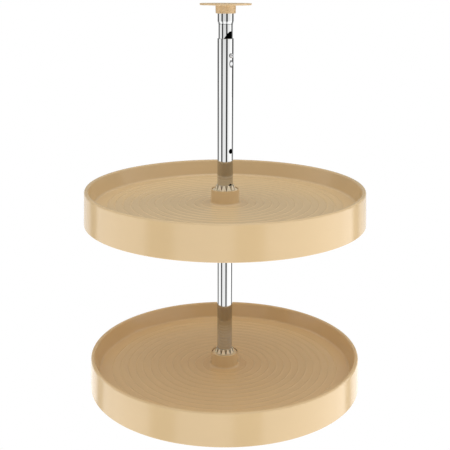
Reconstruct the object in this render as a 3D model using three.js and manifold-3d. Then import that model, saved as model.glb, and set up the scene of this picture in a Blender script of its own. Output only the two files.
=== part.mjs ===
// Two-tier full-circle carousel for a kitchen corner cabinet.
// Two identical moulded trays turn on a telescoping steel post that stands
// between a floor bracket and a ceiling bracket.
// Millimetres, +Z up. Origin: centre of the floor bracket's underside.
// Front is -Y, right is +X.

import * as THREE from 'three';
import { mergeVertices } from 'three/addons/utils/BufferGeometryUtils.js';
import Module from 'manifold-3d';

const wasm = await Module();
wasm.setup();

// ---------------------------------------------------------------- dimensions

const H_ALL = 660.4;            // overall height as shown
const GAP = 0.3;                // play between neighbouring pieces

// trays, heights measured down from the rim plane
const TRAY_R = 228.6;           // outside radius at the skirt's lower edge
const TRAY_R_TOP = 226.1;       // outside radius just under the rim
const TRAY_H = 54.94;           // rim to lower edge of the skirt
const TRAY_FLOOR = 26.8;        // rim to floor
const TRAY_T = 3.0;             // floor thickness
const HUB_R = 23.3;             // hub boss radius
const HUB_TOP = 3.3;            // rim to hub top
const HUB_LOW = 42.0;           // rim to hub underside
const HUB_BORE = 17.6;
const CUP_R = 21.4;             // recess in the hub's top, takes the bush's flange
const CUP_FLOOR = 6.8;          // rim to recess floor
const RIB_COUNT = 8;            // radial ribs under the floor
const RIB_T = 2.2;

const RIM_UPPER = 372.9;        // height of the upper rim plane
const TIER = 285.7;             // rim to rim
const RIM_LOWER = RIM_UPPER - TIER;

// post
const TUBE_R = 12.7;            // outer tube
const TUBE_RI = 11.4;
const TUBE_Z0 = 5.1;
const TUBE_Z1 = 607.7;
const INNER_R = 11.1;           // inner tube
const INNER_RI = 9.9;
const INNER_Z0 = 439.0;
const SWAGE_Z0 = 629.1;         // the inner tube widens here
const SWAGE_Z1 = 633.5;
const SWAGE_R = 12.5;
const SWAGE_RI = 11.3;
const INNER_Z1 = 655.3;
const LINE = 43;                // degrees from front towards right: line of holes, keyway, key and screw
const SLOT_W = 4.8;             // keyway in the inner tube
const SLOT_Z0 = 444.2;
const SLOT_Z1 = 618.7;
const KEY_Z = 569.7;
const KEY_A = 3.6;              // oval head, half width and half height
const KEY_B = 5.6;
const SCREW_Z = 582.2;

// support pins
const PIN_DROP = 54.8;          // rim to pin axis
const PIN_PITCH = 57.15;
const PIN_R = 3.0;
const PIN_HOLE_R = 3.4;

// brackets
const PLATE_R = 39.8;
const PLATE_T = 3.0;
const BOSS_R = 15.5;
const BOSS_H = 15.1;            // plate included
const SOCKET_R = 13.0;
const SOCKET_FLOOR = 3.0;
const SCREW_PCD_R = 30.0;

// facets round a circle
const N_TRAY = 48;
const N_TUBE = 24;
const N_SMALL = 12;

// ------------------------------------------------------------------ helpers

const rad = (d) => (d * Math.PI) / 180;

// closed indexed geometry -> manifold solid, faces turned outward
function solid(geometry) {
  const g = geometry.clone();
  for (const name of Object.keys(g.attributes)) if (name !== 'position') g.deleteAttribute(name);
  const m = mergeVertices(g, 1e-4);
  const pos = m.attributes.position.array;
  const idx = m.index.array;
  let volume = 0;
  const tris = [];
  for (let i = 0; i < idx.length; i += 3) {
    const [a, b, c] = [idx[i], idx[i + 1], idx[i + 2]];
    if (a === b || b === c || c === a) continue;
    tris.push(a, b, c);
    const [ax, ay, az] = [pos[3 * a], pos[3 * a + 1], pos[3 * a + 2]];
    const [bx, by, bz] = [pos[3 * b], pos[3 * b + 1], pos[3 * b + 2]];
    const [cx, cy, cz] = [pos[3 * c], pos[3 * c + 1], pos[3 * c + 2]];
    volume += ax * (by * cz - bz * cy) - ay * (bx * cz - bz * cx) + az * (bx * cy - by * cx);
  }
  if (volume < 0) for (let i = 0; i < tris.length; i += 3) [tris[i], tris[i + 1]] = [tris[i + 1], tris[i]];
  return new wasm.Manifold(new wasm.Mesh({
    numProp: 3, vertProperties: new Float32Array(pos), triVerts: new Uint32Array(tris),
  }));
}

function geometryOf(manifold) {
  const mesh = manifold.getMesh();
  const g = new THREE.BufferGeometry();
  g.setAttribute('position', new THREE.BufferAttribute(new Float32Array(mesh.vertProperties), 3));
  g.setIndex(new THREE.BufferAttribute(new Uint32Array(mesh.triVerts), 1));
  g.computeVertexNormals();
  return g;
}

// revolved solid; profile is a list of [radius, height], closed here when it doesn't start and end on the axis
function turned(profile, segments) {
  const pts = profile.map(([r, z]) => new THREE.Vector2(r, z));
  const first = profile[0];
  const last = profile[profile.length - 1];
  if (!(first[0] === 0 && last[0] === 0)) pts.push(new THREE.Vector2(first[0], first[1]));
  const g = new THREE.LatheGeometry(pts, segments);
  g.rotateX(Math.PI / 2);
  return solid(g);
}

// flat outline in the plane (tangent, height), pushed out along the radius at an angle
function radialPrism(outline, s0, s1, angle) {
  const shape = new THREE.Shape(outline.map(([t, z]) => new THREE.Vector2(t, z)));
  const g = new THREE.ExtrudeGeometry(shape, { depth: s1 - s0, bevelEnabled: false, curveSegments: 12 });
  const a = rad(angle);
  const es = new THREE.Vector3(Math.sin(a), -Math.cos(a), 0);
  const et = new THREE.Vector3(Math.cos(a), Math.sin(a), 0);
  const ez = new THREE.Vector3(0, 0, 1);
  g.translate(0, 0, s0);
  g.applyMatrix4(new THREE.Matrix4().makeBasis(et, ez, es));
  return solid(g);
}

// round bar or hole along the radius at an angle; profile is a list of [radius, distance out]
function radialTurned(profile, height, angle, segments) {
  const pts = profile.map(([r, s]) => new THREE.Vector2(r, s));
  const g = new THREE.LatheGeometry(pts, segments);   // axis along Y
  const a = rad(angle);
  const es = new THREE.Vector3(Math.sin(a), -Math.cos(a), 0);
  const et = new THREE.Vector3(Math.cos(a), Math.sin(a), 0);
  const ez = new THREE.Vector3(0, 0, 1);
  // local y -> radius outward, local x -> tangent, local z -> down
  g.applyMatrix4(new THREE.Matrix4().makeBasis(et, es, ez.clone().negate()));
  g.translate(0, 0, height);
  return solid(g);
}

const ellipse = (a, b, z, n) => Array.from({ length: n }, (_, i) => {
  const t = (2 * Math.PI * i) / n;
  return [a * Math.cos(t), z + b * Math.sin(t)];
});

// ---------------------------------------------------------------- materials

const POLYMER = { color: 0xd9bf94, roughness: 0.42, metalness: 0.0 };
const CHROME = { color: 0xdfe2e6, roughness: 0.08, metalness: 1.0 };
const STEEL = { color: 0xb9bcc0, roughness: 0.3, metalness: 1.0 };
const NYLON = { color: 0xece4d3, roughness: 0.5, metalness: 0.0 };
const ACETAL = { color: 0xdccaa8, roughness: 0.45, metalness: 0.0 };
const BLACK = { color: 0x1b1b1c, roughness: 0.6, metalness: 0.0 };

const model = new THREE.Group();

function part(name, manifold, look, at = [0, 0, 0]) {
  const mesh = new THREE.Mesh(geometryOf(manifold), new THREE.MeshStandardMaterial(look));
  mesh.name = name;
  mesh.position.set(...at);
  model.add(mesh);
  return mesh;
}

// ------------------------------------------------------------------- bracket

// round screw plate with a tube socket; modelled plate down, socket up
function bracket() {
  let b = turned([
    [0, 0], [PLATE_R, 0], [PLATE_R, PLATE_T - 0.6], [PLATE_R - 0.6, PLATE_T],
    [BOSS_R + 1.6, PLATE_T], [BOSS_R, PLATE_T + 2.0],
    [BOSS_R - 0.4, BOSS_H - 0.6], [BOSS_R - 1.0, BOSS_H], [SOCKET_R, BOSS_H],
    [SOCKET_R, SOCKET_FLOOR], [0, SOCKET_FLOOR],
  ], N_TUBE);
  for (let i = 0; i < 4; i++) {
    const a = rad(45 + 90 * i);
    const hole = turned([[0, -1], [2.3, -1], [2.3, 0.9], [4.4, 3.0], [4.4, 6], [0, 6]], N_SMALL)
      .translate([SCREW_PCD_R * Math.cos(a), SCREW_PCD_R * Math.sin(a), 0]);
    b = b.subtract(hole);
  }
  return b;
}

// --------------------------------------------------------------------- tray

// heights from the rim plane, down is negative
function tray() {
  const F = -TRAY_FLOOR;
  const U = F - TRAY_T;
  const bottom = -TRAY_H;
  let t = turned([
    // hub bore, recess in the hub's top, hub side, foot of the hub
    [HUB_BORE, -HUB_LOW], [HUB_BORE, -CUP_FLOOR], [CUP_R, -CUP_FLOOR], [CUP_R, -HUB_TOP],
    [HUB_R - 0.7, -HUB_TOP], [HUB_R, -HUB_TOP - 0.8],
    [HUB_R + 0.2, F + 4.0], [HUB_R + 1.4, F + 1.2], [HUB_R + 4.0, F],
    // floor, cove, inner wall
    [212.6, F], [216.2, F + 3.4], [219.6, -2.0],
    // rolled rim
    [221.2, 0], [224.6, 0], [TRAY_R_TOP, -1.6],
    // skirt
    [TRAY_R, bottom], [TRAY_R - 2.5, bottom], [223.4, -3.4],
    // back of the inner wall, underside of the floor
    [222.2, -3.4], [218.4, U], [HUB_R, U], [HUB_R, -HUB_LOW],
  ], N_TRAY);
  // radial ribs, hub to skirt
  for (let i = 0; i < RIB_COUNT; i++) {
    const shape = new THREE.Shape([
      [HUB_R - 2.5, U + 1.5], [218.0, U + 1.5], [219.4, U + 8], [225.2, U + 8],
      [226.6, -44], [HUB_R - 2.5, -41],
    ].map(([r, z]) => new THREE.Vector2(r, z)));
    const g = new THREE.ExtrudeGeometry(shape, { depth: RIB_T, bevelEnabled: false });
    g.translate(0, 0, -RIB_T / 2);
    g.rotateX(Math.PI / 2);
    g.rotateZ((2 * Math.PI * (i + 0.5)) / RIB_COUNT);
    t = t.add(solid(g));
  }
  return t;
}

// flanged bearing bush pressed into the tray's hub
function hubBushing() {
  return turned([
    [15.2, -HUB_LOW], [15.2, -CUP_FLOOR + 1.8], [CUP_R - 0.6, -CUP_FLOOR + 1.8], [CUP_R - 0.4, -CUP_FLOOR + GAP],
    [HUB_BORE - GAP, -CUP_FLOOR + GAP], [HUB_BORE - GAP, -HUB_LOW],
  ], N_TUBE);
}

// sleeve round the post: tapered snap fingers above, flange under the hub, notch that sits on the support pin
function hubSleeve() {
  const topZ = 3.6;
  const hook = -CUP_FLOOR + 1.8 + GAP;
  const foot = -PIN_DROP - 6.1;
  let s = turned([
    [13.0, foot], [13.0, topZ], [13.9, topZ], [14.3, topZ - 0.6], [16.4, hook + 1.3], [16.4, hook + 0.6], [15.9, hook], [14.9, hook],
    [14.9, -43.6], [22.6, -43.6], [22.6, -47.0], [18.0, -47.0], [18.0, foot],
  ], N_TUBE);
  // narrow slots part the fingers, each at the bottom of a V-shaped flute
  for (let i = 0; i < 12; i++) {
    const a = LINE - 5 + 30 * i;
    s = s.subtract(radialPrism([[-0.4, -7.8], [0.4, -7.8], [0.4, topZ + 1], [-0.4, topZ + 1]], 5, 20, a));
    s = s.subtract(radialPrism([[-0.7, -3.2], [0.7, -3.2], [2.6, topZ + 1], [-2.6, topZ + 1]], 13.6, 20, a));
  }
  // notch for the support pin, open downward
  const top = -PIN_DROP + 3.4;
  s = s.subtract(radialPrism([[-3.4, -70], [3.4, -70], [3.4, top - 1.7], [1.8, top], [-1.8, top], [-3.4, top - 1.7]], -30, 30, LINE));
  return s;
}

function thrustWasher() {
  return turned([[15.3, -43.3], [15.3, -42.3], [21.8, -42.3], [21.8, -43.3]], N_TUBE);
}

// headed support pin through both walls of the post
function supportPin() {
  return radialTurned([
    [0, -20.5], [PIN_R - 0.9, -20.5], [PIN_R, -19.4], [PIN_R, 18.6], [5.4, 18.6], [5.2, 21.6], [0, 21.6],
  ], 0, LINE, N_SMALL);
}

// --------------------------------------------------------------------- post

function outerTube() {
  let t = turned([
    [TUBE_RI, TUBE_Z0], [TUBE_RI, TUBE_Z1], [TUBE_R - 0.3, TUBE_Z1],
    [TUBE_R, TUBE_Z1 - 0.4], [TUBE_R, TUBE_Z0],
  ], N_TUBE);
  const up = RIM_UPPER - PIN_DROP;
  for (const z of [RIM_LOWER - PIN_DROP, up - PIN_PITCH, up, up + PIN_PITCH, up + 2 * PIN_PITCH]) {
    t = t.subtract(radialTurned([[0, -20], [PIN_HOLE_R, -20], [PIN_HOLE_R, 20], [0, 20]], z, LINE, N_SMALL));
  }
  for (const z of [KEY_Z, SCREW_Z]) {
    t = t.subtract(radialTurned([[0, 5], [2.2, 5], [2.2, 20], [0, 20]], z, LINE, N_SMALL));
  }
  return t;
}

function innerTube() {
  let t = turned([
    [INNER_RI, INNER_Z0], [INNER_RI, SWAGE_Z0], [SWAGE_RI, SWAGE_Z1], [SWAGE_RI, INNER_Z1],
    [SWAGE_R, INNER_Z1], [SWAGE_R, SWAGE_Z1], [INNER_R, SWAGE_Z0], [INNER_R, INNER_Z0],
  ], N_TUBE);
  // keyway: straight slot with a slanted lead-in at its upper end
  const w = SLOT_W / 2;
  t = t.subtract(radialPrism([
    [-w, SLOT_Z0], [w, SLOT_Z0], [w, SLOT_Z1], [-1.6, SLOT_Z1], [-4.6, 616.2], [-7.7, 611.5], [-9.9, 606.9], [-10.2, 605.9], [-9.6, 605.0], [-w, 600],
  ], 2.0, 16, LINE));
  return t;
}

function endPlug() {   // flange down, for the outer tube's foot
  return turned([
    [0, 3.3], [12.2, 3.3], [12.2, 4.8], [TUBE_RI - GAP, 4.8], [TUBE_RI - 0.9, 16.4], [8.8, 16.4], [8.8, 7.0], [0, 7.0],
  ], N_TUBE);
}

function topPlug() {
  const z = H_ALL - 3.3;
  return turned([
    [0, z], [12.1, z], [12.1, z - 1.5], [SWAGE_RI - GAP, z - 1.5], [SWAGE_RI - 0.9, z - 12.8],
    [8.8, z - 12.8], [8.8, z - 3.7], [0, z - 3.7],
  ], N_TUBE);
}

function innerEndCap() {
  const z = INNER_Z0 - GAP;
  return turned([
    [0, z - 1.5], [11.0, z - 1.5], [11.0, z], [INNER_RI - GAP, z], [INNER_RI - GAP, z + 4.6],
    [8.2, z + 4.6], [8.2, z + 1.2], [0, z + 1.2],
  ], N_TUBE);
}

// oval-headed rivet, its stem runs in the keyway
function slotKey() {
  const head = radialPrism(ellipse(KEY_A, KEY_B, KEY_Z, 16), 10.5, 13.9, LINE);
  const around = turned([[0, KEY_Z - 20], [TUBE_R + GAP, KEY_Z - 20], [TUBE_R + GAP, KEY_Z + 20], [0, KEY_Z + 20]], 48);
  const stem = radialTurned([[0, 9.9], [1.8, 9.9], [1.8, 13.5], [0, 13.5]], KEY_Z, LINE, N_SMALL);
  return head.subtract(around).add(stem);
}

function lockScrew() {
  let s = radialTurned([
    [0, 6.4], [1.8, 6.4], [1.8, 13.2], [3.6, 13.2], [3.6, 13.9], [2.8, 14.8], [0, 15.0],
  ], SCREW_Z, LINE, N_SMALL);
  for (const [a, b] of [[2.2, 0.45], [0.45, 2.2]]) {
    s = s.subtract(radialPrism([[-a, SCREW_Z - b], [a, SCREW_Z - b], [a, SCREW_Z + b], [-a, SCREW_Z + b]], 13.9, 17, LINE));
  }
  return s;
}

// curved nut plate inside the inner tube
function nutPlate() {
  const ring = turned([[6.9, SCREW_Z - 7], [9.3, SCREW_Z - 7], [9.3, SCREW_Z + 7], [6.9, SCREW_Z + 7]], N_TUBE);
  const window = radialPrism([[-4.6, SCREW_Z - 9], [4.6, SCREW_Z - 9], [4.6, SCREW_Z + 9], [-4.6, SCREW_Z + 9]], 1, 16, LINE);
  const hole = radialTurned([[0, 2], [2.1, 2], [2.1, 18], [0, 18]], SCREW_Z, LINE, N_SMALL);
  return ring.intersect(window).subtract(hole);
}

// ----------------------------------------------------------------- assembly

part('bottom_bracket', bracket(), POLYMER);
part('top_bracket', bracket().rotate([180, 0, 0]), POLYMER, [0, 0, H_ALL]);

part('outer_tube', outerTube(), CHROME);
part('bottom_end_plug', endPlug(), NYLON);
part('slot_key', slotKey(), STEEL);
part('tube_lock_screw', lockScrew(), STEEL);
part('clamp_nut_plate', nutPlate(), STEEL);

part('inner_tube', innerTube(), CHROME);
part('inner_tube_end_cap', innerEndCap(), BLACK);
part('top_end_plug', topPlug(), NYLON);

for (const [tier, rim] of [['lower', RIM_LOWER], ['upper', RIM_UPPER]]) {
  part(`${tier}_shelf_tray`, tray(), POLYMER, [0, 0, rim]);
  part(`${tier}_hub_bushing`, hubBushing(), ACETAL, [0, 0, rim]);
  part(`${tier}_hub_sleeve`, hubSleeve(), NYLON, [0, 0, rim]);
  part(`${tier}_thrust_washer`, thrustWasher(), BLACK, [0, 0, rim]);
  part(`${tier}_support_pin`, supportPin(), STEEL, [0, 0, rim - PIN_DROP]);
}

export default model;
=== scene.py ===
import math

import bmesh
import bpy
from mathutils import Matrix, Vector


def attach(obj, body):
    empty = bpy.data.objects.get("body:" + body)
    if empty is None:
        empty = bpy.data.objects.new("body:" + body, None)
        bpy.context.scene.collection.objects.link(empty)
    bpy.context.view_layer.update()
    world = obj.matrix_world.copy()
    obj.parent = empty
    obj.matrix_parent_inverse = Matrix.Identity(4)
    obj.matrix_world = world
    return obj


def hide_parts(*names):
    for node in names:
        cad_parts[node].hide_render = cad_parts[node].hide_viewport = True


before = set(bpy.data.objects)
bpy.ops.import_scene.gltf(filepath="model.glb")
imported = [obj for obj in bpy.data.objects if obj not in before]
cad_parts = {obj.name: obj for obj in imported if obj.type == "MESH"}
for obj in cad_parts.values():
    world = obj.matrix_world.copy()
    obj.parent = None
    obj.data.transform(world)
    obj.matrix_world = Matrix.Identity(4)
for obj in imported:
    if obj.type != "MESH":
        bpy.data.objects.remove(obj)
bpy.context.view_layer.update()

MM = 0.001
RIM_UPPER, RIM_LOWER = 372.9, 87.2
H_ALL = 660.4
LINE = 43                            # degrees from front towards right: line of holes, keyway, key and screw
PIN_DROP = 54.8                      # rim to pin axis
KEY_Z, SCREW_Z = 569.7, 582.2
UP = Vector((0, 0, 1))


# ------------------------------------------------------------------ mesh code

def rounded(points, steps=5, hold=0.35):
    """Closed outline with each corner (x, y, radius) turned into an arc, held by a close point on either side."""
    out = []
    n = len(points)
    for i, p in enumerate(points):
        x, y = p[0], p[1]
        radius = p[2] if len(p) > 2 else 0
        here = Vector((x, y))
        if radius <= 0:
            out.append((x, y))
            continue
        a = Vector(points[i - 1][:2]) - here
        b = Vector(points[(i + 1) % n][:2]) - here
        la, lb = a.length, b.length
        a.normalize(), b.normalize()
        half = math.acos(max(-1, min(1, a.dot(b)))) / 2
        reach = radius / math.tan(half)
        most = 0.47 * min(la, lb)
        if reach > most:
            radius *= most / reach
            reach = most
        centre = here + (a + b).normalized() * (radius / math.sin(half))
        start, end = here + a * reach, here + b * reach
        if la > 4 * reach and hold:
            q = here + a * (reach + min(hold, 0.2 * la))
            out.append((q.x, q.y))
        v0, v1 = start - centre, end - centre
        turn = v0.angle_signed(v1)
        for k in range(steps + 1):
            v = v0.copy()
            v.rotate(Matrix.Rotation(-turn * k / steps, 2))
            out.append((centre.x + v.x, centre.y + v.y))
        if lb > 4 * reach and hold:
            q = here + b * (reach + min(hold, 0.2 * lb))
            out.append((q.x, q.y))
    return out


def mesh_object(name, bm, sharp=32):
    bmesh.ops.remove_doubles(bm, verts=bm.verts, dist=1e-7)
    bmesh.ops.recalc_face_normals(bm, faces=bm.faces)
    me = bpy.data.meshes.new(name)
    bm.to_mesh(me)
    bm.free()
    shade(me, sharp)
    ob = bpy.data.objects.new(name, me)
    bpy.context.scene.collection.objects.link(ob)
    return ob


def shade(me, sharp=32):
    me.polygons.foreach_set("use_smooth", [True] * len(me.polygons))
    me.set_sharp_from_angle(angle=math.radians(sharp))
    me.update()


def lathe_into(bm, profile, seg, matrix=None, slots=None):
    """Revolves a closed outline (radius, height), in mm, about Z. slots gives the material slot of each edge of the outline."""
    rings = []
    for r, z in profile:
        if r < 1e-6:
            rings.append([bm.verts.new((0, 0, z * MM))])
        else:
            rings.append([
                bm.verts.new((r * MM * math.cos(2 * math.pi * k / seg), r * MM * math.sin(2 * math.pi * k / seg), z * MM))
                for k in range(seg)
            ])
    n = len(rings)
    for i in range(n):
        a, b = rings[i], rings[(i + 1) % n]
        if len(a) == 1 and len(b) == 1:
            continue
        for k in range(seg):
            k2 = (k + 1) % seg
            if len(a) == 1:
                f = bm.faces.new((a[0], b[k], b[k2]))
            elif len(b) == 1:
                f = bm.faces.new((a[k], b[0], a[k2]))
            else:
                f = bm.faces.new((a[k], b[k], b[k2], a[k2]))
            if slots:
                f.material_index = slots[i]
    if matrix is not None:
        bm.transform(matrix)


def lathe(name, profile, seg=192, z=0.0, matrix=None, sharp=32, inner=None):
    """inner(r0, z0, r1, z1) says which edges of the outline take material slot 1."""
    bm = bmesh.new()
    slots = None
    if inner:
        slots = [1 if inner(*profile[i], *profile[(i + 1) % len(profile)]) else 0 for i in range(len(profile))]
    lathe_into(bm, profile, seg, slots=slots)
    bm.transform(Matrix.Translation((0, 0, z * MM)))
    if matrix is not None:
        bm.transform(matrix)
    return mesh_object(name, bm, sharp)


def radial(z, angle=LINE):
    """Local x along the tangent, y up, z out along the radius at an angle."""
    a = math.radians(angle)
    along = Vector((math.sin(a), -math.cos(a), 0))
    across = Vector((math.cos(a), math.sin(a), 0))
    m = Matrix((across, UP, along)).transposed().to_4x4()
    m.translation = Vector((0, 0, z * MM))
    return m


def prism(name, outline, z0, z1, matrix=None, slot=0, sharp=32, bevel=0.0):
    """Outline (x, y) in mm pushed out along Z."""
    bm = bmesh.new()
    low = [bm.verts.new((x * MM, y * MM, z0 * MM)) for x, y in outline]
    high = [bm.verts.new((x * MM, y * MM, z1 * MM)) for x, y in outline]
    n = len(outline)
    bm.faces.new(low[::-1])
    bm.faces.new(high)
    for i in range(n):
        bm.faces.new((low[i], low[(i + 1) % n], high[(i + 1) % n], high[i]))
    if bevel:
        edges = [e for e in bm.edges if e.verts[0] in set(high) and e.verts[1] in set(high)]
        bmesh.ops.bevel(bm, geom=edges, offset=bevel * MM, segments=3, affect="EDGES", profile=0.5)
    for f in bm.faces:
        f.material_index = slot
    if matrix is not None:
        bm.transform(matrix)
    return mesh_object(name, bm, sharp)


def two_slots(ob, slot=1):
    """A cutter: its faces bring material slot 1 with them."""
    while len(ob.data.materials) < 2:
        ob.data.materials.append(None)
    for f in ob.data.polygons:
        f.material_index = slot
    return ob


def carve(ob, cutters, sharp=32, operation="DIFFERENCE"):
    """Cuts or joins closed meshes, applies the result, and removes the tools."""
    if any(len(c.data.materials) > 1 for c in cutters):
        while len(ob.data.materials) < 2:
            ob.data.materials.append(None)
    for c in cutters:
        m = ob.modifiers.new("cut", "BOOLEAN")
        m.operation = operation
        m.solver = "MANIFOLD"
        m.object = c
    bpy.context.view_layer.update()
    dg = bpy.context.evaluated_depsgraph_get()
    me = bpy.data.meshes.new_from_object(ob.evaluated_get(dg), preserve_all_data_layers=True, depsgraph=dg)
    ob.modifiers.clear()
    old = ob.data
    name = old.name
    ob.data = me
    bpy.data.meshes.remove(old)
    me.name = name
    for c in cutters:
        cm = c.data
        bpy.data.objects.remove(c)
        bpy.data.meshes.remove(cm)
    bm = bmesh.new()
    bm.from_mesh(me)
    bmesh.ops.remove_doubles(bm, verts=bm.verts, dist=2e-7)
    bmesh.ops.dissolve_degenerate(bm, dist=1e-7, edges=bm.edges)
    bm.to_mesh(me)
    bm.free()
    shade(me, sharp)
    return ob


def join(ob, others):
    """Puts other meshes into ob's, keeping their slots."""
    bm = bmesh.new()
    bm.from_mesh(ob.data)
    for o in others:
        bm.from_mesh(o.data)
    bm.to_mesh(ob.data)
    bm.free()
    for o in others:
        me = o.data
        bpy.data.objects.remove(o)
        bpy.data.meshes.remove(me)
    shade(ob.data)
    return ob


# ------------------------------------------------------------------ materials

def new_material(name):
    m = bpy.data.materials.new(name)
    m.use_nodes = True
    nt = m.node_tree
    return m, nt, nt.nodes["Principled BSDF"]


def noise(nt, scale, detail=3.0, rough=0.5, stretch=None):
    tc = nt.nodes.new("ShaderNodeTexCoord")
    src = tc.outputs["Object"]
    if stretch:
        mp = nt.nodes.new("ShaderNodeMapping")
        mp.inputs["Scale"].default_value = stretch
        nt.links.new(src, mp.inputs["Vector"])
        src = mp.outputs["Vector"]
    n = nt.nodes.new("ShaderNodeTexNoise")
    n.inputs["Scale"].default_value = scale
    n.inputs["Detail"].default_value = detail
    n.inputs["Roughness"].default_value = rough
    nt.links.new(src, n.inputs["Vector"])
    return n.outputs["Fac"]


def span(nt, fac, low, high, a=0.3, b=0.7):
    m = nt.nodes.new("ShaderNodeMapRange")
    m.inputs["From Min"].default_value = a
    m.inputs["From Max"].default_value = b
    m.inputs["To Min"].default_value = low
    m.inputs["To Max"].default_value = high
    nt.links.new(fac, m.inputs["Value"])
    return m.outputs["Result"]


def tint(nt, fac, stops):
    r = nt.nodes.new("ShaderNodeValToRGB")
    e = r.color_ramp.elements
    while len(e) < len(stops):
        e.new(0.5)
    for el, (pos, col) in zip(e, stops):
        el.position = pos
        el.color = (*col, 1)
    nt.links.new(fac, r.inputs["Fac"])
    return r.outputs["Color"]


def bump(nt, shader, height, distance, strength=1.0, under=None):
    b = nt.nodes.new("ShaderNodeBump")
    b.inputs["Strength"].default_value = strength
    b.inputs["Distance"].default_value = distance
    nt.links.new(height, b.inputs["Height"])
    if under is not None:
        nt.links.new(under, b.inputs["Normal"])
    nt.links.new(b.outputs["Normal"], shader.inputs["Normal"])
    return b.outputs["Normal"]


def polymer(name, base, spread=0.015, rough=(0.15, 0.21), sss=0.0):
    """Satin moulded polymer: faint flow clouding, fine spark-eroded skin."""
    m, nt, s = new_material(name)
    dark = tuple(c * (1 - spread) for c in base)
    light = tuple(min(1, c * (1 + spread)) for c in base)
    flow = noise(nt, 9.0, 4.0, 0.6, (1, 1, 2.2))
    nt.links.new(tint(nt, flow, [(0.3, dark), (0.7, light)]), s.inputs["Base Color"])
    fine = noise(nt, 1500.0, 2.0, 0.5)
    nt.links.new(span(nt, noise(nt, 120.0, 3.0), *rough), s.inputs["Roughness"])
    s.inputs["IOR"].default_value = 1.49
    if sss:
        s.inputs["Subsurface Weight"].default_value = sss
        s.inputs["Subsurface Radius"].default_value = (1.0, 0.6, 0.35)
        s.inputs["Subsurface Scale"].default_value = 0.003
    bump(nt, s, fine, 0.00001, 0.35)
    return m


def metal(name, base, rough, stretch=(1, 1, 0.02), grain=700.0, depth=0.000002, spread=0.015):
    m, nt, s = new_material(name)
    drawn = noise(nt, grain, 3.0, 0.6, stretch)
    dark = tuple(c * (1 - spread) for c in base)
    nt.links.new(tint(nt, drawn, [(0.3, dark), (0.7, base)]), s.inputs["Base Color"])
    nt.links.new(span(nt, drawn, *rough), s.inputs["Roughness"])
    s.inputs["Metallic"].default_value = 1.0
    if depth:
        bump(nt, s, drawn, depth, 0.25)
    return m


TAN_POLYMER = polymer("tan_polymer", (0.697, 0.507, 0.277))
BRACKET_POLYMER = polymer("bracket_polymer", (0.66, 0.48, 0.265), rough=(0.25, 0.35))
CHROME = metal("chrome", (0.552, 0.556, 0.554), (0.02, 0.045), depth=0)
# near-black and non-reflecting: painted shade for the tube bores, hole walls, keyway walls and the screw's cross recess
PAINTED_SHADE_BORE = polymer("painted_shade_bore", (0.008, 0.008, 0.008), 0.1, (0.75, 0.85))
PAINTED_SHADE_BORE.node_tree.nodes["Principled BSDF"].inputs["Specular IOR Level"].default_value = 0.0
STEEL = metal("zinc_steel", (0.55, 0.55, 0.555), (0.4, 0.52), (1, 1, 1), 900.0, 0.000008, 0.05)
BRIGHT_STEEL = metal("bright_steel", (0.56, 0.565, 0.57), (0.2, 0.3), (1, 1, 1), 900.0, 0.000006, 0.03)
# dark grey: painted shadow for the gap round the key head
KEY_SHADOW_PAD = polymer("painted_shadow_pad", (0.26, 0.26, 0.265), 0.05, (0.6, 0.7))
NYLON = polymer("cream_nylon", (0.88, 0.77, 0.59), 0.015, (0.4, 0.5), 0.1)
# flute faces: the cream nylon at half brightness, painted shade between the crown's teeth
SHADED_FLUTE_NYLON = polymer("painted_shade_flute_nylon", (0.44, 0.37, 0.25), 0.03, (0.5, 0.6))
ACETAL = polymer("cream_acetal", (0.80, 0.68, 0.47), 0.015, (0.35, 0.45))
BLACK = polymer("black_nylon", (0.012, 0.012, 0.013), 0.15, (0.42, 0.6))


def finish(ob, body, materials, nodes):
    me = ob.data
    while len(me.materials) < len(materials):
        me.materials.append(None)
    for i, m in enumerate(materials):
        me.materials[i] = m
    while len(me.materials) > len(materials):
        me.materials.pop()
    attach(ob, body)
    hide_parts(*nodes)
    return ob


# ---------------------------------------------------------------------- trays

F, U, BOTTOM = -26.8, -29.8, -54.94
RING_FIRST, RING_PITCH, RING_COUNT = 38.1, 12.7, 13
RING_HALF, RING_H = 1.9, 0.5


def tray_outline():
    """Hub, ringed floor, cove, inner wall, rolled rim, skirt and underside; heights from the rim plane."""
    V = F - RING_H
    p = [(17.6, -42, 0.4), (17.6, -6.8, 0.4), (21.4, -6.8, 0.4), (21.4, -3.3, 0.4), (22.9, -3.3, 0.9), (23.5, V, 4.0)]
    floor = []
    for i in range(RING_COUNT):
        r = RING_FIRST + RING_PITCH * i
        for k in range(-6, 7):
            t = k / 6
            floor.append((r + RING_HALF * t, V + RING_H * (0.5 + 0.5 * math.cos(math.pi * t))))
    edge = [(213.0, V, 4.2), (219.7, -2.0, 1.0), (221.0, 0, 1.4), (224.9, 0, 1.5), (226.2, -2.2, 0.8),
            (228.6, BOTTOM, 0.7), (226.1, BOTTOM, 0.7), (223.4, -3.4, 0.6), (222.2, -3.4, 0.6), (218.4, U, 1.0), (23.3, U, 1.2), (23.3, -42, 0.5)]
    whole = p + floor + edge
    return rounded(whole, 5)


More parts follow.
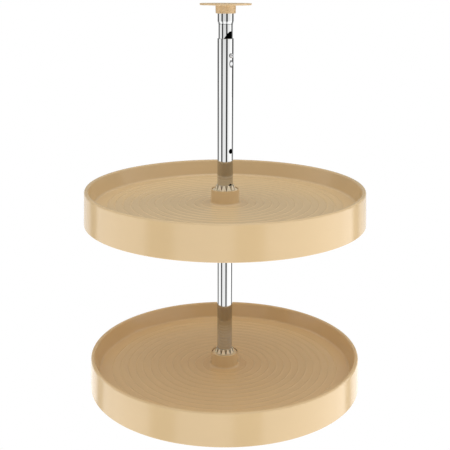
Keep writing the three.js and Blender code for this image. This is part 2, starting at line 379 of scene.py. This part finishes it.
def rib(angle):
    """Underside rib, hub to skirt, with parallel sides and a rounded lower edge."""
    line = [(21.5, U + 1.2), (218.2, U + 1.2), (219.6, U + 8), (225.0, U + 8), (226.4, -44), (23.9, -41), (21.5, -41)]
    bm = bmesh.new()
    left = [bm.verts.new((x * MM, -1.1 * MM, y * MM)) for x, y in line]
    right = [bm.verts.new((x * MM, 1.1 * MM, y * MM)) for x, y in line]
    n = len(line)
    bm.faces.new(left)
    bm.faces.new(right[::-1])
    for i in range(n):
        bm.faces.new((left[(i + 1) % n], left[i], right[i], right[(i + 1) % n]))
    low = {left[4], left[5], right[4], right[5]}
    edges = [e for e in bm.edges if set(e.verts) in ({left[4], left[5]}, {right[4], right[5]})]
    bmesh.ops.bevel(bm, geom=edges, offset=0.7 * MM, segments=3, affect="EDGES", profile=0.5)
    bm.transform(Matrix.Rotation(angle, 4, "Z"))
    return mesh_object("rib", bm)


def make_tray(tier, rim):
    t = lathe(f"{tier}_tray_moulding", tray_outline(), 320)
    ribs = [rib(math.radians(22.5 + 45 * i)) for i in range(8)]
    join(t, ribs)
    t.data.transform(Matrix.Translation((0, 0, rim * MM)))
    finish(t, f"{tier}_shelf", [TAN_POLYMER], [f"{tier}_shelf_tray"])

    b = lathe(f"{tier}_hub_bush", rounded([(15.2, -42, 0.3), (15.2, -5.0, 0.4), (20.8, -5.0, 0.5), (21.0, -6.5, 0.3), (17.3, -6.5, 0), (17.3, -42, 0.3)], 4), 160, rim)
    finish(b, f"{tier}_shelf", [ACETAL], [f"{tier}_hub_bushing"])

    s = lathe(f"{tier}_carrier_sleeve", rounded([
        (13.0, -60.9, 0.3), (13.0, 3.6, 0.3), (13.9, 3.6, 0.3), (14.3, 3.0, 0.4), (16.4, -3.4, 0.5), (16.4, -4.1, 0.2), (15.9, -4.7, 0.2), (14.9, -4.7, 0), (14.9, -43.6, 0.3),
        (22.6, -43.6, 0.4), (22.6, -47.0, 0.6), (18.0, -47.0, 0.8), (18.0, -60.9, 0.6)], 4), 160)
    cutters = []
    for i in range(12):
        a = LINE - 5 + 30 * i
        cutters.append(prism("slot", rounded([(-0.4, -7.8, 0.3), (0.4, -7.8, 0.3), (0.4, 4.6), (-0.4, 4.6)], 4, 0), 5, 20, radial(0, a)))
        # flute faces take slot 1, the darker painted-shade nylon
        cutters.append(two_slots(prism("flute", rounded([(-0.7, -3.2, 0.5), (0.7, -3.2, 0.5), (2.6, 4.6), (-2.6, 4.6)], 4, 0), 13.6, 20, radial(0, a))))
    top = 3.4 - PIN_DROP
    notch = prism("notch", rounded([(-3.4, -70), (3.4, -70), (3.4, top, 2.9), (-3.4, top, 2.9)], 6, 0), -30, 30, radial(0))
    cutters.append(notch)
    carve(s, cutters)
    s.data.transform(Matrix.Translation((0, 0, rim * MM)))
    finish(s, f"{tier}_carrier", [NYLON, SHADED_FLUTE_NYLON], [f"{tier}_hub_sleeve"])

    w = lathe(f"{tier}_washer", rounded([(15.3, -43.3, 0.2), (15.3, -42.3, 0.2), (21.8, -42.3, 0.2), (21.8, -43.3, 0.2)], 3, 0), 128, rim)
    finish(w, f"{tier}_carrier", [BLACK], [f"{tier}_thrust_washer"])

    z = rim - PIN_DROP
    pin = lathe(f"{tier}_cross_pin", rounded([(0, -20.5), (2.6, -20.5, 0.8), (3.0, -19.0, 0.5), (3.0, 18.6, 0), (5.4, 18.6, 0.5), (5.3, 21.6, 0.9), (0, 21.6)], 4), 64, 0, radial(z))
    finish(pin, f"{tier}_pin", [STEEL], [f"{tier}_support_pin"])


make_tray("upper", RIM_UPPER)
make_tray("lower", RIM_LOWER)


# ----------------------------------------------------------------------- post

def hole(z, r, s0, s1, angle=LINE, seg=48, at=12.7):
    """Cutter for a hole along the radius, with a small chamfer where it leaves the surface."""
    prof = [(0, s0), (r, s0), (r, at - 0.75), (r + 1.1, at + 0.35), (r + 1.1, s1), (0, s1)]
    if s0 < -12:
        prof = [(0, s0), (r + 1.1, s0), (r + 1.1, -at - 0.35), (r, -at + 0.75), (r, at - 0.75), (r + 1.1, at + 0.35), (r + 1.1, s1), (0, s1)]
    # the hole's wall and chamfer faces take slot 1, the painted shade
    return two_slots(lathe("hole", prof, seg, 0, radial(z, angle)))


def rows(profile, step=40.0):
    """Extra points along long edges, so that a cut stays local."""
    out = []
    n = len(profile)
    for i in range(n):
        a, b = profile[i], profile[(i + 1) % n]
        out.append(a)
        k = int(math.dist(a, b) // step)
        for j in range(1, k + 1):
            t = j / (k + 1)
            out.append((a[0] + (b[0] - a[0]) * t, a[1] + (b[1] - a[1]) * t))
    return out


UPZ = RIM_UPPER - PIN_DROP
# bore faces (r < 11.6) take slot 1, the painted shade
outer = lathe("post_outer_tube", rows(rounded([(11.4, 5.1, 0.2), (11.4, 607.7, 0.25), (12.7, 607.7, 0.3), (12.7, 5.1, 0.3)], 5)), 256,
              inner=lambda r0, z0, r1, z1: r0 < 11.6 and r1 < 11.6)
carve(outer, [hole(z, 3.4, -20, 20) for z in (RIM_LOWER - PIN_DROP, UPZ - 57.15, UPZ, UPZ + 57.15, UPZ + 114.3)] + [hole(z, 2.2, 5, 20) for z in (KEY_Z, SCREW_Z)])
finish(outer, "post", [CHROME, PAINTED_SHADE_BORE], ["outer_tube"])

# bore faces take slot 1, the painted shade
inner = lathe("post_inner_tube", rows(rounded([
    (9.9, 439.0, 0.2), (9.9, 629.1, 3.0), (11.3, 633.5, 3.0), (11.3, 655.3, 0.2), (12.5, 655.3, 0.3), (12.5, 633.5, 3.0), (11.1, 629.1, 3.0), (11.1, 439.0, 0.2)], 6)), 256,
    inner=lambda r0, z0, r1, z1: r0 < 10.3 and r1 < 10.3 or (z0 > 629 and z1 > 629 and r0 < 11.6 and r1 < 11.6))
keyway = prism("keyway", rounded([(-2.4, 444.2, 2.2), (2.4, 444.2, 2.2), (2.4, 618.7, 0.3), (-1.6, 618.7, 0.3), (-2.8, 617.7), (-4.6, 616.2), (-5.8, 614.6), (-6.8, 613.1), (-7.7, 611.5),
    (-8.4, 610.0), (-9.2, 608.4), (-9.9, 606.9, 0.3), (-10.2, 605.9, 0.3), (-9.6, 605.0, 0.4), (-2.4, 600, 1.5)], 5, 0), 2, 16, radial(0))
# keyway walls take slot 1, the painted shade
carve(inner, [two_slots(keyway)])
finish(inner, "inner_post", [CHROME, PAINTED_SHADE_BORE], ["inner_tube"])

plug = lathe("foot_plug", rounded([(0, 3.3), (12.2, 3.3, 0.4), (12.2, 4.8, 0.2), (11.1, 4.8, 0), (10.5, 16.4, 0.4), (8.8, 16.4, 0.3), (8.8, 7.0, 0.5), (0, 7.0)], 4), 128)
finish(plug, "post", [NYLON], ["bottom_end_plug"])
Z = H_ALL - 3.3
plug = lathe("head_plug", rounded([(0, Z), (12.1, Z, 0.4), (12.1, Z - 1.5, 0.2), (11.0, Z - 1.5, 0), (10.4, Z - 12.8, 0.4), (8.8, Z - 12.8, 0.3), (8.8, Z - 3.7, 0.5), (0, Z - 3.7)], 4), 128)
finish(plug, "inner_post", [NYLON], ["top_end_plug"])
Z = 438.7
cap = lathe("inner_tube_cap", rounded([(0, Z - 1.5), (11.0, Z - 1.5, 0.4), (11.0, Z, 0.2), (9.6, Z, 0), (9.6, Z + 4.6, 0.3), (8.2, Z + 4.6, 0.3), (8.2, Z + 1.2, 0.4), (0, Z + 1.2)], 4), 128)
finish(cap, "inner_post", [BLACK], ["inner_tube_end_cap"])

# key: round boss on a thin dark oval pad that follows the tube; the pad's dark grey is a painted shadow, the gap round
# the key head
def pillar(r):
    return lathe("pillar", [(0, 545), (r, 545), (r, 600), (0, 600)], 192)


oval = [(3.1 * math.cos(t * math.pi / 24), 6.0 * math.sin(t * math.pi / 24)) for t in range(48)]
pad = prism("key_painted_shadow_pad", oval, 10.5, 13.9, radial(KEY_Z))
carve(pad, [pillar(13.15)], operation="INTERSECT")
carve(pad, [pillar(12.78)])
two_slots(pad)
boss = [(2.7 * math.cos(t * math.pi / 24), 3.1 * math.sin(t * math.pi / 24)) for t in range(48)]
key = prism("oval_slot_key", boss, 10.5, 13.4, radial(KEY_Z), bevel=0.35)
carve(key, [pillar(13.2)])
stem = lathe("stem", rounded([(0, 9.9), (1.8, 9.9, 0.3), (1.8, 13.3, 0), (0, 13.3)], 3, 0), 48, 0, radial(KEY_Z))
join(key, [pad, stem])
finish(key, "post", [BRIGHT_STEEL, KEY_SHADOW_PAD], ["slot_key"])

# cross-recess clamp screw

screw = lathe("clamp_screw", rounded([(0, 6.4), (1.5, 6.4, 0.2), (1.8, 6.9, 0.2), (1.8, 13.2, 0), (3.6, 13.2, 0.15), (3.6, 13.9, 0.3), (2.8, 14.8, 0.5), (0, 15.0)], 4, 0), 64, 0, radial(SCREW_Z))
cuts = []
# cross recess faces take slot 1, the painted shade
for a, b in ((1.9, 0.3), (0.3, 1.9)):
    cuts.append(two_slots(prism("recess", rounded([(-a, -b, 0.15), (a, -b, 0.15), (a, b, 0.15), (-a, b, 0.15)], 3, 0), 13.95, 17, radial(SCREW_Z))))
carve(screw, cuts)
finish(screw, "lock_screw", [STEEL, PAINTED_SHADE_BORE], ["tube_lock_screw"])

nut = lathe("nut_plate", rounded([(6.9, SCREW_Z - 7, 0.3), (9.3, SCREW_Z - 7, 0.3), (9.3, SCREW_Z + 7, 0.3), (6.9, SCREW_Z + 7, 0.3)], 3, 0), 128)
window = prism("window", [(-4.6, 573), (4.6, 573), (4.6, 593), (-4.6, 593)], 1, 16, radial(0))
carve(nut, [window], operation="INTERSECT")
carve(nut, [lathe("through", [(0, 2), (2.1, 2), (2.1, 18), (0, 18)], 48, 0, radial(SCREW_Z))])
finish(nut, "post", [STEEL], ["clamp_nut_plate"])


# ------------------------------------------------------------------- brackets

def bracket(name, body, node, turned):
    b = lathe(name, rows(rounded([
        (0, 0), (39.8, 0, 0.4), (39.8, 2.9, 0.9), (15.7, 3.0, 0.8), (15.5, 15.1, 0.7), (13.0, 15.1, 0.3), (13.0, 3.0, 0.5), (0, 3.0)], 5), 60), 192)
    cutters = []
    for i in range(4):
        a = math.radians(45 + 90 * i)
        h = lathe("screw_hole", [(0, -1), (2.3, -1), (2.3, 0.9), (4.4, 3.0), (4.4, 6), (0, 6)], 48)
        h.data.transform(Matrix.Translation((30 * MM * math.cos(a), 30 * MM * math.sin(a), 0)))
        cutters.append(h)
    carve(b, cutters)
    if turned:
        b.data.transform(Matrix.Translation((0, 0, H_ALL * MM)) @ Matrix.Rotation(math.pi, 4, "X"))
    finish(b, body, [BRACKET_POLYMER], [node])


bracket("floor_bracket", "base", "bottom_bracket", False)
bracket("ceiling_bracket", "ceiling_plate", "top_bracket", True)


# ---------------------------------------------------------- floor, light, camera

bm = bmesh.new()
bmesh.ops.create_circle(bm, cap_ends=True, segments=96, radius=120.0)
floor = mesh_object("studio_floor", bm)
floor.location = (0, 0, -0.0002)
fm = bpy.data.materials.new("pale_floor")
fm.use_nodes = True
nt = fm.node_tree
nt.nodes.clear()
out = nt.nodes.new("ShaderNodeOutputMaterial")
glow = nt.nodes.new("ShaderNodeEmission")
glow.inputs["Color"].default_value = (1, 1, 1, 1)
glow.inputs["Strength"].default_value = 1.0
clear = nt.nodes.new("ShaderNodeBsdfTransparent")
side = nt.nodes.new("ShaderNodeNewGeometry")
mix = nt.nodes.new("ShaderNodeMixShader")
nt.links.new(side.outputs["Backfacing"], mix.inputs["Fac"])
nt.links.new(glow.outputs["Emission"], mix.inputs[1])
nt.links.new(clear.outputs["BSDF"], mix.inputs[2])
nt.links.new(mix.outputs["Shader"], out.inputs["Surface"])
floor.data.materials.append(fm)
floor.visible_diffuse = floor.visible_glossy = floor.visible_transmission = floor.visible_shadow = False

# a soft studio tent: tall white boxes at the left, front, right and behind, dark gaps between them;
# azimuth from the front, towards the right; bands of elevation blend into each other
def boxes(left, front, right, side, behind, gap):
    return [(-180, behind), (-137, behind), (-134, gap), (-110, gap), (-106, left), (-64.5, left), (-61.5, gap), (-41, gap), (-38, front), (5.5, front), (8.5, gap), (29.5, gap),
            (32, right), (50, right), (92, side), (103, side), (107, gap), (132, gap), (136, behind), (180, behind)]


def make_world(bands, top):
    world = bpy.data.worlds.new("studio")
    bpy.context.scene.world = world
    world.use_nodes = True
    nt = world.node_tree
    nt.nodes.clear()
    tc = nt.nodes.new("ShaderNodeTexCoord")
    sep = nt.nodes.new("ShaderNodeSeparateXYZ")
    nt.links.new(tc.outputs["Generated"], sep.inputs["Vector"])

    def maths(op, a, b=None):
        n = nt.nodes.new("ShaderNodeMath")
        n.operation = op
        for i, v in enumerate((a, b)):
            if v is None:
                continue
            if isinstance(v, (int, float)):
                n.inputs[i].default_value = v
            else:
                nt.links.new(v, n.inputs[i])
        return n.outputs["Value"]

    def ranged(v, a, b):
        n = nt.nodes.new("ShaderNodeMapRange")
        n.inputs["From Min"].default_value = a
        n.inputs["From Max"].default_value = b
        nt.links.new(v, n.inputs["Value"])
        return n.outputs["Result"]

    azimuth = ranged(maths("ARCTAN2", sep.outputs["X"], maths("MULTIPLY", sep.outputs["Y"], -1.0)), -math.pi, math.pi)
    elevation = maths("ARCSINE", sep.outputs["Z"])
    colour = None
    for k, (deg, stops) in enumerate(bands):
        ramp = nt.nodes.new("ShaderNodeValToRGB")
        els = ramp.color_ramp.elements
        while len(els) < len(stops):
            els.new(0.5)
        for el, (a, v) in zip(els, stops):
            el.position = (a + 180) / 360
            el.color = (v / top, v / top, v / top, 1)
        nt.links.new(azimuth, ramp.inputs["Fac"])
        if colour is None:
            colour = ramp.outputs["Color"]
        else:
            mix = nt.nodes.new("ShaderNodeMix")
            mix.data_type = "RGBA"
            nt.links.new(ranged(elevation, math.radians(bands[k - 1][0]), math.radians(deg)), mix.inputs[0])
            nt.links.new(colour, mix.inputs[6])
            nt.links.new(ramp.outputs["Color"], mix.inputs[7])
            colour = mix.outputs[2]
    light = nt.nodes.new("ShaderNodeBackground")
    light.inputs["Strength"].default_value = top
    nt.links.new(colour, light.inputs["Color"])
    seen = nt.nodes.new("ShaderNodeBackground")
    seen.inputs["Color"].default_value = (1, 1, 1, 1)
    path = nt.nodes.new("ShaderNodeLightPath")
    pick = nt.nodes.new("ShaderNodeMixShader")
    nt.links.new(path.outputs["Is Camera Ray"], pick.inputs["Fac"])
    nt.links.new(light.outputs["Background"], pick.inputs[1])
    nt.links.new(seen.outputs["Background"], pick.inputs[2])
    out = nt.nodes.new("ShaderNodeOutputWorld")
    nt.links.new(pick.outputs["Shader"], out.inputs["Surface"])


make_world([
    (-90, [(-180, 1.275), (180, 1.275)]),
    (-60, [(-180, 2.01), (-90, 2.11), (0, 2.19), (90, 2.13), (180, 2.01)]),
    (-30, boxes(1.87, 1.61, 1.80, 2.15, 1.52, 0.28)),
    (-5, boxes(1.65, 1.41, 1.62, 2.0, 0.57, 0.03)),
    (15, [(-180, 0.182), (-135, 0.411), (-90, 0.388), (-45, 0.174), (0, 0.123), (45, 0.303), (90, 0.424), (135, 0.386), (180, 0.182)]),
    (35, [(-180, 0.34), (-135, 0.611), (-90, 0.921), (-45, 1.019), (0, 1.055), (45, 1.173), (90, 1.088), (135, 0.682), (180, 0.34)]),
    (60, [(-180, 0.678), (-90, 0.735), (0, 0.829), (90, 0.807), (180, 0.678)]),
    (90, [(-180, 3.065), (180, 3.065)]),
], 4.0)


def soft_box(name, first, last, reach, low, high, radiance):
    """Upright white sheet beside the object, between two azimuths: it blends into the surround behind it as the post sees it,
    and stands nearer for the trays' ends."""
    bm = bmesh.new()
    a, b = (Vector((math.sin(math.radians(t)), -math.cos(math.radians(t)), 0)) * reach for t in (first, last))
    bm.faces.new([bm.verts.new(p + UP * z) for p, z in ((a, low), (b, low), (b, high), (a, high))])
    ob = mesh_object(name, bm)
    m = bpy.data.materials.new(name)
    m.use_nodes = True
    nt = m.node_tree
    nt.nodes.clear()
    out = nt.nodes.new("ShaderNodeOutputMaterial")
    lamp = nt.nodes.new("ShaderNodeEmission")
    lamp.inputs["Color"].default_value = (1, 1, 1, 1)
    lamp.inputs["Strength"].default_value = radiance
    nt.links.new(lamp.outputs["Emission"], out.inputs["Surface"])
    ob.data.materials.append(m)
    ob.visible_camera = False
    ob.visible_shadow = False


soft_box("right_soft_box", 91, 106.5, 0.8, -0.35, 0.42, 2.05)
soft_box("left_soft_box", -91, -107, 0.8, -0.35, 0.42, 1.5)

cam_data = bpy.data.cameras.new("camera")
cam = bpy.data.objects.new("camera", cam_data)
bpy.context.scene.collection.objects.link(cam)
cam_data.sensor_width = 36.0
cam_data.lens = 66.95
cam_data.clip_start, cam_data.clip_end = 0.05, 400.0
cam_data.dof.use_dof = False
cam.matrix_world = Matrix.Translation((0, -1.3239, 0.6811)) @ Matrix.Rotation(math.radians(74.258), 4, "X") @ Matrix.Rotation(0.00322, 4, "Z")
bpy.context.scene.camera = cam

view = bpy.context.scene.view_settings
view.view_transform = "Standard"
view.look = "None"
view.exposure = 0.0
view.gamma = 1.0
